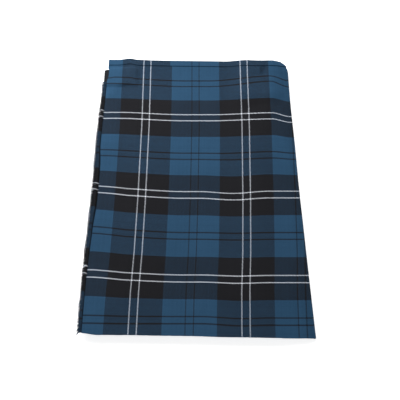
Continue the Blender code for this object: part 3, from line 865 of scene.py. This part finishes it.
def moved_out(points, distance):
    """(across, height) lines moved to their left by a distance."""
    points = np.asarray(points, float)
    along = np.gradient(points, axis=0)
    size = np.maximum(np.linalg.norm(along, axis=1, keepdims=True), 1e-9)
    along = along / size
    return np.stack([points[:, 0] - along[:, 1] * distance, points[:, 1] + along[:, 0] * distance], 1)


BACK_BAND_START = 9.2 * MM  # how far the back's waistband starts inside the folded edge
FRONT_BAND_END = 9 * MM


def front_band_line(down):
    """From the fringed edge over the face and round the folded side to under the back."""
    face = face_places(down, FACE_COLUMNS)
    edge = face[-1]
    line = pairs(face, apron_level(face, down) + FRONT_BAND_PITCH)
    edge_z = line[-1][1] - FRONT_BAND_PITCH
    side = edge + FOLD_NOSE + PITCH + 4 * GAP
    line += [
        (edge + 0.6 * MM, edge_z + PITCH - 0.1 * MM),
        (side - 0.5 * MM, edge_z + PITCH / 2),
        (side - 0.1 * MM, edge_z - 0.1 * PITCH),
        (side, edge_z - PITCH),
        (side, edge_z - 3 * PITCH),
    ]
    centre = edge - BACK_INSET
    low = float(back_level(centre, down)) - BACK_BAND_PITCH
    middle, radius = (low + edge_z - 3 * PITCH) / 2, (edge_z - 3 * PITCH - low) / 2
    for angle in (15, 30, 45, 60, 75, 90):
        turn = math.radians(angle)
        x = centre + (side - centre) * abs(math.cos(turn)) ** 0.6
        line.append((x, middle + radius - 2 * radius * math.sin(turn) ** 0.8))
    end = edge - FRONT_BAND_END
    return [*line, (end, float(back_level(end, down)) - BACK_BAND_PITCH)]


def back_band_line(down):
    first = folded_edge(down) - BACK_BAND_START - GAP
    places = np.linspace(first, turn_centre(down)[0] + 2.4 * MM, 90)
    return pairs(places, back_level(places, down) - BACK_BAND_PITCH)


def under_band_line(down):
    """From the back's first pleat round the fringed side and over the under apron."""
    centre = turn_centre(down)[0]
    start = centre + 2 * MM - GAP
    section = moved_out(under_apron_section(down)[::-1], PITCH + 0.1 * MM)
    return [(start, float(back_level(start, down)) - BACK_BAND_PITCH), *map(tuple, section)]


# A waistband's shape from its lower edge up over the top: distance down in millimetres, share of
# the way over the top, and how far it sinks, in millimetres, beside the two rows of stitches.
BandRow = namedtuple("BandRow", "down over sunk")
BAND_SHAPE = [BandRow(*row) for row in (
    (14.0, 0.0, 0.30), (13.8, 0.0, 0.10), (13.2, 0.0, 0.0), (12.0, 0.0, 0.0), (11.4, 0.0, 0.08),
    (10.8, 0.0, 0.0), (8.6, 0.0, -0.06), (6.2, 0.0, -0.04), (5.6, 0.0, 0.06), (5.0, 0.0, -0.02),
    (3.2, 0.0, -0.04), (1.9, 0.02, 0.0), (1.1, 0.10, 0.0), (0.65, 0.24, 0.0), (0.5, 0.42, 0.0),
    (0.5, 0.7, 0.0), (0.5, 1.0, 0.0),
)]
STITCHED_ROWS = (4, 8)
BAND_TOP_LINE = 2.6 * MM  # above this its outer line doesn't change


def waistband(node, outer_line, width, sett_of):
    """A folded strip round an (across, height) line, whose top is a width across."""
    rows = []
    for row in BAND_SHAPE:
        line = np.array(outer_line(max(row.down * MM, BAND_TOP_LINE)))
        line = moved_out(line, -width * row.over - row.sunk * MM)
        rows.append(np.stack([line[:, 0], place_y(line[:, 0], row.down * MM), line[:, 1]], 1))
    grid = np.array(rows)
    obj = shell(f"{node}_cloth", grid, sett_of(grid, arc_lengths(grid)))
    return dress(obj, TARTAN, "tartan_cloth", node), grid


# The band is cut so that the weft's blue runs along it.
BAND_WEFT = 2.5 * WEFT_REPEAT - 12 * MM


FRONT_BAND_DRAW = {"height": 5 * MM, "across": -0.058, "width": 0.022}  # its lines lean there


def band_sett(grid, warp):
    """The weft runs from the band's lower edge up and over its top."""
    steps = np.linalg.norm(np.diff(grid, axis=0), axis=2)
    up = np.concatenate([np.zeros((1, grid.shape[1])), np.cumsum(steps, axis=0)])
    return np.stack([warp, BAND_WEFT - up], axis=-1)


def front_band_sett(grid, lengths):
    x = on_the_pattern_plane(grid)[0]
    off = (x - FRONT_BAND_DRAW["across"]) / FRONT_BAND_DRAW["width"]
    warp = face_sett(grid)[..., 0] + FRONT_BAND_DRAW["height"] * np.exp(-(off**2))
    last = slice(FACE_COLUMNS - 1, FACE_COLUMNS)
    warp[:, FACE_COLUMNS:] = warp[:, last] + lengths[:, FACE_COLUMNS:] - lengths[:, last]
    return band_sett(grid, warp)


def plain_band_sett(grid, lengths):
    return band_sett(grid, -lengths + 0.03)


def line_lengths(points):
    steps = np.linalg.norm(np.diff(points, axis=0), axis=1)
    return np.concatenate([[0], np.cumsum(steps)])


# A stitch's rings: place along it, and share of its radius; its ends dip into the cloth.
STITCH_RINGS = ((-0.5, 0.25), (-0.44, 0.75), (0.0, 1.0), (0.44, 0.75), (0.5, 0.25))
STITCH_SIDES = 6
STITCH_DIP = 0.72
STITCH_FLATNESS = 0.7


def stitches(name, paths, length, gap, radius):
    """Short rounded stitches along lines of points, each with its outward direction."""
    verts, faces = [], []
    for points, outs in paths:
        along_line = line_lengths(points)

        def at(place, values):
            return np.array([np.interp(place, along_line, values[:, j]) for j in range(3)])

        for i in range(int(along_line[-1] / (length + gap))):
            middle = (i + 0.5) * (length + gap)
            along = at(middle + length / 2, points) - at(middle - length / 2, points)
            along = along / max(np.linalg.norm(along), 1e-9)
            side = np.cross(along, at(middle, outs))
            side = side / max(np.linalg.norm(side), 1e-9)
            out = np.cross(side, along)
            faces += tube_faces(len(verts), len(STITCH_RINGS), STITCH_SIDES)
            for share, size in STITCH_RINGS:
                dip = STITCH_DIP * radius if size < 1 else 0.0
                centre = at(middle, points) + along * share * length - out * dip
                for angle in np.arange(STITCH_SIDES) * math.tau / STITCH_SIDES:
                    turn = side * math.cos(angle) + out * math.sin(angle) * STITCH_FLATNESS
                    verts.append(centre + turn * radius * size)
    return add_object(name, verts, faces)


def band_stitch_path(grid, line, height=0.10 * MM):
    """A stitching line along one line of a waistband's outer face."""
    normal = grid_normals(grid)[line]
    return grid[line] + normal * (CLOTH / 2 + height), normal


def build_waistband():
    apron_width = PITCH + SOLID_CLOTH / 2
    back_width = stack_height(0.0, lie("pleat_depth", 0.0)) + PITCH
    bands = [
        waistband("waistband_front", front_band_line, apron_width, front_band_sett),
        waistband("waistband_back", back_band_line, back_width, plain_band_sett),
        waistband("waistband_under", under_band_line, apron_width, plain_band_sett),
    ]
    paths = [band_stitch_path(grid, line) for obj, grid in bands for line in STITCHED_ROWS]
    sewing = stitches("waistband_stitching", paths, 2.3 * MM, 0.9 * MM, 0.19 * MM)
    dress(sewing, DARK_THREAD, "tartan_cloth")
    return [obj for obj, grid in bands] + [sewing]


# ---------------- the fringe


STRAND_SHARES = (0.0, 0.25, 0.45, 0.65, 0.85, 1.0)
STRAND_SIDES = 5
STRIP_SHARES = (0.0, 0.3, 0.5, 0.75, 1.0)
TUFT = 23.5 * MM  # strands in a tuft are longer or shorter together
HEM_HANG = 6.0 * MM  # how far the strands at the hem hang down past it


def fringe_length(down):
    share = down / LENGTH
    return (9.5 + 3.5 * ease(share / 0.45) - 2.8 * ease((share - 0.55) / 0.35)) * MM


def fringe_weft(edge, down, y):
    """The fringe's weft as a share of a repeat, a little higher up than the apron's beside it."""
    x, y = np.array([edge]) + PATTERN_SHIFT[0], np.array([y]) + PATTERN_SHIFT[1]
    return float(weft_place(down + FRINGE_SHIFT + float(weft_rise(x, y)[0]))) / WEFT_REPEAT


def fringe_root(down):
    """The apron's edge at a distance down, the cloth's height there, and its place along Y."""
    edge = fringed_edge(down)
    return edge, float(apron_level(edge + 1 * MM, down)), float(place_y(edge, down))


def past_root(share):
    """How far past its root a strand's point is, as a share of the free part."""
    return max(0.0, share - 0.2) / 0.8


def fringe_strands(rng):
    """Strands in full layers, and loose and stray ones: (points, radii, weft) each."""
    strands = []
    for drop, reach, thick, pitch, spread in FRINGE_LAYERS:
        for i in range(int((FRINGE_BOTTOM - FRINGE_TOP) / (pitch * MM))):
            down = FRINGE_TOP + (i + 0.5 + rng.uniform(-0.3, 0.3)) * pitch * MM
            tuft = math.sin(math.floor(down / TUFT + 0.5 * drop) * 2.4)
            tooth = down / TOOTH % 1 - 0.5
            tip = 0.5 - 1.6 * abs(2 * tooth) ** 1.6
            length = fringe_length(down) + (reach + 0.7 * tuft + tip + rng.gauss(0, 0.35)) * MM
            comb = math.sin(down * 190 + drop) + 0.6 * math.sin(down * 433 + 1.3 * drop)
            lean = (0.55 * comb + rng.gauss(0, spread)) * MM + 0.35 * tooth * TOOTH
            curl = rng.gauss(0, 0.5 * spread) * MM
            sag = (1.2 + rng.uniform(-0.4, 0.4)) * MM
            edge, level, y = fringe_root(down)
            start = edge + 2.5 * MM + pulled_back(down)
            points, radii = [], []
            for share in STRAND_SHARES:
                out = past_root(share)
                z = level - drop * MM - sag * out**1.6 + 0.12 * MM * math.sin(share * 9 + i)
                x = start + (edge - length - start) * share
                arch = (2.8 * math.sin(math.pi * max(0.0, share - 0.25) / 0.75) - 0.4 * out) * MM
                hang = HEM_HANG * out * ease((down - 0.585) / 0.022)
                bent = arch + lean * out + curl * math.sin(share * 5.0 + i) - hang
                points.append((x, y + bent, z))
                radii.append(thick * MM * (1.0 - 0.35 * share**2))
            strands.append((np.array(points), radii, fringe_weft(edge, down, y)))
    return strands


def fringe_strip(rng):
    """The strip that the strands come from, ribbed by its threads, with a worn outer edge."""
    grid, places = [], []
    for i, down in enumerate(np.arange(FRINGE_TOP, FRINGE_BOTTOM, 1.2 * MM)):
        edge, level, y = fringe_root(down)
        worn = 0.5 * MM * math.sin(down * 900) + rng.gauss(0, 0.3) * MM
        start = edge + 2 * MM + pulled_back(down)
        end = edge - 0.80 * fringe_length(down) - worn
        rib = 0.12 * MM if i % 2 else 0.0
        weft = fringe_weft(edge, down, y)
        line = []
        for share in STRIP_SHARES:
            z = level - 2.35 * MM - 1.1 * MM * past_root(share) ** 1.6 + rib
            line.append((start + (end - start) * share, y, z))
        grid.append(line[::-1])
        places.append([(0.6 * share, weft) for share in STRIP_SHARES[::-1]])
    sett = np.array(places) * (WARP_REPEAT, WEFT_REPEAT)
    strip = shell("fringe_strip", np.array(grid), sett, 0.5 * MM)
    points = [tuple(v.co) for v in strip.data.vertices]
    faces = [tuple(polygon.vertices) for polygon in strip.data.polygons]
    bpy.data.meshes.remove(strip.data)
    return points, faces, np.concatenate([np.array(places).reshape(-1, 2)] * 2).tolist()


def build_fringe():
    """A narrow strip of the cloth sewn under the apron's edge, with its weft drawn out."""
    rng = random.Random(20)
    verts, faces, uvs = [], [], []
    for points, radii, weft in fringe_strands(rng):
        faces += tube_faces(len(verts), len(points), STRAND_SIDES, flipped=True)
        along = np.gradient(points, axis=0)
        for n, (point, direction, radius) in enumerate(zip(points, along, radii)):
            direction = direction / np.linalg.norm(direction)
            side = np.cross(direction, (0, 0, 1.0))
            side = side / np.linalg.norm(side)
            up = np.cross(side, direction)
            for k in range(STRAND_SIDES):
                angle = 2 * math.pi * k / STRAND_SIDES
                verts.append(point + (side * math.cos(angle) + up * math.sin(angle)) * radius)
                uvs.append((n / (len(points) - 1), weft))
    points, strip_faces, strip_uvs = fringe_strip(rng)
    faces += [tuple(len(verts) + k for k in face) for face in strip_faces]
    obj = add_object("apron_fringe_yarn", verts + points, faces, uvs + strip_uvs)
    return dress(obj, FRINGE_YARN, "fringe_yarn", "apron_fringe")


# ---------------- strap and buckle


STRIP_STEP = 1.6 * MM


def rounded_strip(name, line, half_width, wall, tip=0.0):
    """A leather strip along an (across, height) line, with eased edges. The corners of its far
    end are rounded over the length of the tip."""
    line = np.asarray(line, float)
    steps = line_lengths(line)
    count = max(24, int(steps[-1] / STRIP_STEP))
    places = np.linspace(0, steps[-1], count)
    centre = np.stack([np.interp(places, steps, column) for column in line.T], 1)
    along = np.gradient(centre, axis=0)
    along = along / np.linalg.norm(along, axis=1, keepdims=True)
    normal = np.stack([-along[:, 1], along[:, 0]], 1)
    soft = min(0.35 * MM, wall / 3)
    y, z = half_width - 0.3 * soft, wall / 2 - 0.3 * soft
    ring = [(share * (half_width - soft), wall / 2) for share in np.linspace(-1, 1, 12)]
    ring += [(y, z), (half_width, wall / 2 - soft), (half_width, soft - wall / 2), (y, -z)]
    ring += [(-y, -z) for y, z in ring]
    verts = []
    for i, (x, height) in enumerate(centre):
        left = (steps[-1] - places[i]) / tip if tip else 1.0
        squeeze = 0.25 + 0.75 * math.sqrt(max(0.0, 1 - (1 - left) ** 2)) if left < 1 else 1.0
        for y, z in ring:
            verts.append((x + normal[i][0] * z, y * squeeze, height + normal[i][1] * z))
    return add_object(name, verts, tube_faces(0, count, len(ring))), centre, normal


def smooth_line(points, rounds=2):
    """Corner cutting that keeps the ends."""
    points = [np.array(p, float) for p in points]
    for _ in range(rounds):
        cut = [points[0]]
        for a, b in zip(points, points[1:]):
            cut += [a * 0.75 + b * 0.25, a * 0.25 + b * 0.75]
        points = [*cut, points[-1]]
    return np.array(points)


STRAP_MIDDLE_Y = LENGTH / 2 + 3 * MM - STRAP_TOP - STRAP_WIDTH / 2


def strap_path():
    """From its sewn end under the apron, round the side and through the buckle to its tip."""
    down = STRAP_TOP + STRAP_WIDTH / 2
    edge = fringed_edge(down)
    room = SOLID_CLOTH / 2 + 1.5 * GAP + STRAP_WALL / 2
    places = np.linspace(edge + STRAP_SEWN, edge, 14)
    lowest = np.min([apron_level(places, d * MM) for d in range(28, 61, 4)], axis=0)
    sewn = pairs(places, lowest - room)
    turn = half_turn(edge - 0.5 * MM, sewn[-1][1], STRAP_LIE, -STRAP_BULGE, 12)
    above_bar = FRONT_BAR_Z + BUCKLE_WIRE + GAP + STRAP_WALL / 2
    front = BUCKLE_X - BUCKLE_ACROSS / 2
    outside = smooth_line([
        (edge + 2 * MM, STRAP_LIE), (front - 14 * MM, STRAP_LIE), (front - 3 * MM, above_bar),
        (BUCKLE_X - 1.0 * MM, above_bar), (BUCKLE_X + 4.5 * MM, STRAP_LIE),
        (BUCKLE_X + 12 * MM, STRAP_LIE), (STRAP_TIP_X + 12 * MM, STRAP_LIE),
    ])
    return np.array([*sewn, *turn, *map(tuple, outside)])


def cut_out(obj, cutter):
    """Takes a cutter's shape out of a mesh, and removes the cutter."""
    cut = obj.modifiers.new("cut", "BOOLEAN")
    cut.operation = "DIFFERENCE"
    cut.object = cutter
    bpy.context.view_layer.update()
    mesh = bpy.data.meshes.new_from_object(obj.evaluated_get(bpy.context.evaluated_depsgraph_get()))
    obj.modifiers.clear()
    old, obj.data = obj.data, mesh
    bpy.data.meshes.remove(old)
    bpy.data.objects.remove(cutter)


def shift_y(obj, distance):
    for vertex in obj.data.vertices:
        vertex.co.y += distance


HOLE_RADIUS, HOLE_PITCH, HOLE_START = 2.3 * MM, 14 * MM, BUCKLE_X + 1.6 * MM
STRAP_TIP_LENGTH = 14 * MM
STITCH_INSET = 3 * MM
STITCHED = slice(None, -11)  # the stitches end before the rounded tip


def build_strap():
    strap, centre, normal = rounded_strip(
        "hip_strap_leather", strap_path(), STRAP_WIDTH / 2, STRAP_WALL, tip=STRAP_TIP_LENGTH
    )
    shift_y(strap, STRAP_MIDDLE_Y)
    for number in range(3):
        place = (HOLE_START + number * HOLE_PITCH, STRAP_MIDDLE_Y, 2 * MM)
        bpy.ops.mesh.primitive_cylinder_add(
            vertices=24, radius=HOLE_RADIUS, depth=8 * MM, location=place
        )
        cut_out(strap, bpy.context.object)
    dress(strap, LEATHER, "strap_leather", "hip_strap")
    paths = []
    for side in (-1, 1):
        row = np.full(len(centre), STRAP_MIDDLE_Y + side * (STRAP_WIDTH / 2 - STITCH_INSET))
        for face in (-1, 1):
            outs = np.stack([normal[:, 0], np.zeros(len(centre)), normal[:, 1]], 1) * face
            points = np.stack([centre[:, 0], row, centre[:, 1]], 1)
            points = points + outs * (STRAP_WALL / 2 + 0.02 * MM)
            paths.append((points[STITCHED], outs[STITCHED]))
    sewing = stitches("hip_strap_stitching", paths, 2.4 * MM, 1.3 * MM, 0.22 * MM)
    dress(sewing, LEATHER_THREAD, "strap_leather")


def build_tab():
    """Leather sewn to the back, round the buckle's heel bar and back, with a slot for the prong."""
    heel = BUCKLE_X + BUCKLE_ACROSS / 2
    wrap = BUCKLE_WIRE + GAP + TAB_WALL / 2 + 0.05 * MM
    sewn_z = float(back_level(heel + TAB_LENGTH, STRAP_TOP))
    sewn_z = sewn_z - SOLID_CLOTH / 2 - 1.5 * GAP - TAB_WALL / 2
    lower_z = sewn_z - TAB_WALL - GAP
    start = [(heel + TAB_LENGTH, sewn_z), (heel + 8 * MM, sewn_z), (heel + 1 * MM, HEEL_BAR_Z + wrap)]
    turns = [math.radians(angle) for angle in range(100, 261, 20)]
    loop = [(heel + wrap * math.cos(a), HEEL_BAR_Z + wrap * math.sin(a)) for a in turns]
    end = [(heel + 2 * MM, HEEL_BAR_Z - wrap), (heel + 12 * MM, lower_z)]
    end.append((heel + TAB_LENGTH - 4 * MM, lower_z))
    line = [*smooth_line(start), *loop, *smooth_line(end)]
    tab = rounded_strip("buckle_tab_leather", line, TAB_WIDTH / 2, TAB_WALL)[0]
    shift_y(tab, STRAP_MIDDLE_Y)
    bpy.ops.mesh.primitive_cube_add(size=1.0, location=(heel, STRAP_MIDDLE_Y, HEEL_BAR_Z))
    bpy.context.object.scale = (12 * MM, 5 * MM, 8 * MM)
    cut_out(tab, bpy.context.object)
    dress(tab, LEATHER, "strap_leather", "buckle_tab")


# ---------------- scene


FLOOR_GAP = 0.2 * MM


def build_floor():
    material, tree, shader = new_material("pale_floor", roughness=0.9, specular=0.1)
    shader.inputs["Emission Color"].default_value = (1, 1, 1, 1)
    place = add_node(tree, "ShaderNodeTexCoord").outputs["Object"]
    far = add_node(tree, "ShaderNodeVectorMath", {0: place}, operation="LENGTH").outputs["Value"]
    far = map_range(tree, far, 1.0, 4.0)
    color = mix_colors(tree, far, (0.90, 0.90, 0.90, 1), (0.22, 0.22, 0.22, 1))
    tree.links.new(color, shader.inputs["Base Color"])
    glow = math_node(tree, "MULTIPLY_ADD", far, -0.26, 0.75)
    tree.links.new(glow, shader.inputs["Emission Strength"])
    # Round, and curving up into a low wall, so a low view is pale behind the object too.
    flat, bend, wall, sides = 4.0, 2.0, 1.5, 64
    rings = [(0.3, 0.0), (1.2, 0.0), (2.6, 0.0)]
    for turn in np.linspace(0, math.pi / 2, 12):
        rings.append((flat + bend * math.sin(turn), bend * (1 - math.cos(turn))))
    rings.append((flat + bend, bend + wall))
    verts = [(0.0, 0.0, -FLOOR_GAP)]
    for radius, height in rings:
        for k in range(sides):
            turn = 2 * math.pi * k / sides
            verts.append((radius * math.cos(turn), radius * math.sin(turn), height - FLOOR_GAP))
    faces = [(0, 1 + k, 1 + (k + 1) % sides) for k in range(sides)]
    faces += tube_faces(1, len(rings), sides, flipped=True)[:-2]  # without its ends
    floor = add_object("floor", verts, faces)
    floor.data.materials.append(material)


def build_lights():
    data = bpy.data.lights.new("softbox", "AREA")
    data.shape, data.size, data.size_y = "RECTANGLE", 1.1, 0.9
    data.energy = 34.0
    light = bpy.data.objects.new("softbox", data)
    light.location = (-0.55, 0.95, 1.15)
    light.rotation_euler = (-light.location).to_track_quat("-Z", "Y").to_euler()
    bpy.context.scene.collection.objects.link(light)
    world = bpy.data.worlds.new("studio")
    world.use_nodes = True
    background = world.node_tree.nodes["Background"]
    background.inputs["Color"].default_value = (1, 1, 1, 1)
    background.inputs["Strength"].default_value = 0.17
    bpy.context.scene.world = world


def build_camera():
    data = bpy.data.cameras.new("camera")
    data.lens, data.sensor_width = CAMERA_LENS, 36.0
    data.clip_start, data.clip_end = 0.01, 50.0
    camera = bpy.data.objects.new("camera", data)
    camera.location = CAMERA_PLACE
    camera.rotation_euler = (CAMERA_TILT, 0.0, 0.0)
    bpy.context.scene.collection.objects.link(camera)
    bpy.context.scene.camera = camera


def main():
    build_camera()
    build_lights()
    build_floor()
    over_apron = build_over_apron()
    under_apron = build_under_apron()
    pleated_back = build_pleated_back()
    front, back, under, sewing = build_waistband()
    fringe = build_fringe()
    build_strap()
    build_tab()
    for node in ("buckle_frame", "buckle_prong"):
        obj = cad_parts[node]
        obj.data.materials.clear()
        obj.data.materials.append(METAL)


main()
bpy.context.scene.view_settings.view_transform = "Standard"
